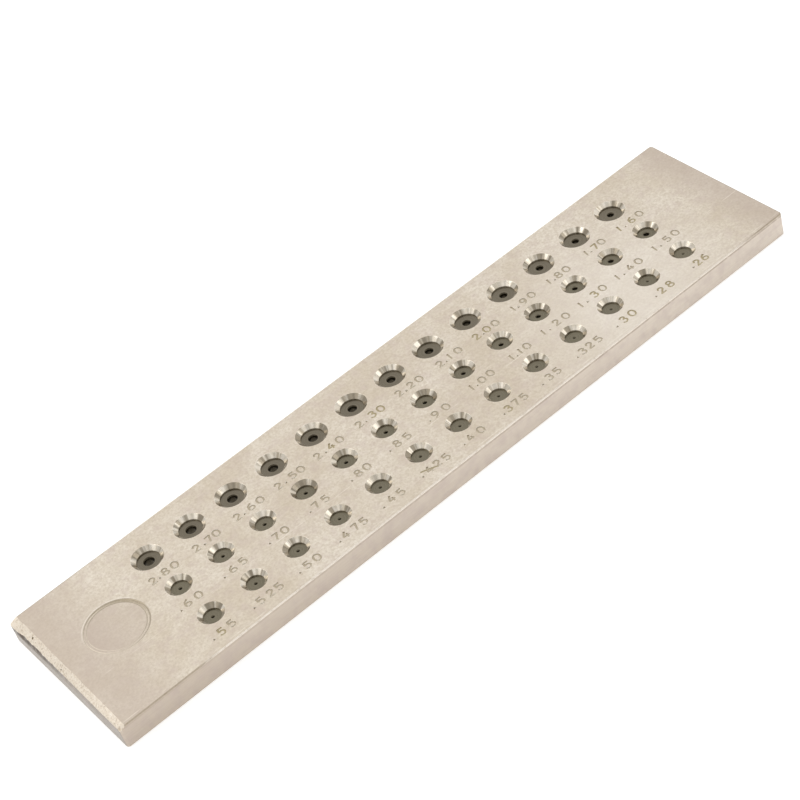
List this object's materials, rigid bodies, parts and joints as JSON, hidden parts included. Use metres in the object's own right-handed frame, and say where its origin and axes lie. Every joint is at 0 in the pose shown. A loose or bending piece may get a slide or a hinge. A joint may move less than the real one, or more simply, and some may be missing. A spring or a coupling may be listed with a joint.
{
  "type": "wire drawplate",
  "caption": "Flat steel bar with rows of pressed-in carbide dies for drawing round wire down in steps.",
  "frame": {"origin": "on the back face, under the middle of the bar", "axes": "+X along the rows of dies away from the end with the seal, +Y across them to the row of large dies, +Z out of the numbered face"},
  "size_m": [0.25, 0.057, 0.008],
  "materials": {
    "ground_steel": "satin",
    "carbide": "matte"
  },
  "bodies": {
    "root": {"plate": "ground_steel", "die_back_01": "carbide", "die_back_02": "carbide", "die_back_03": "carbide", "die_back_04": "carbide", "die_back_05": "carbide", "die_back_06": "carbide", "die_back_07": "carbide", "die_back_08": "carbide", "die_back_09": "carbide", "die_back_10": "carbide", "die_back_11": "carbide", "die_back_12": "carbide", "die_back_13": "carbide", "die_middle_01": "carbide", "die_middle_02": "carbide", "die_middle_03": "carbide", "die_middle_04": "carbide", "die_middle_05": "carbide", "die_middle_06": "carbide", "die_middle_07": "carbide", "die_middle_08": "carbide", "die_middle_09": "carbide", "die_middle_10": "carbide", "die_middle_11": "carbide", "die_middle_12": "carbide", "die_middle_13": "carbide", "die_front_01": "carbide", "die_front_02": "carbide", "die_front_03": "carbide", "die_front_04": "carbide", "die_front_05": "carbide", "die_front_06": "carbide", "die_front_07": "carbide", "die_front_08": "carbide", "die_front_09": "carbide", "die_front_10": "carbide", "die_front_11": "carbide", "die_front_12": "carbide", "die_front_13": "carbide"}
  },
  "joints": []
}
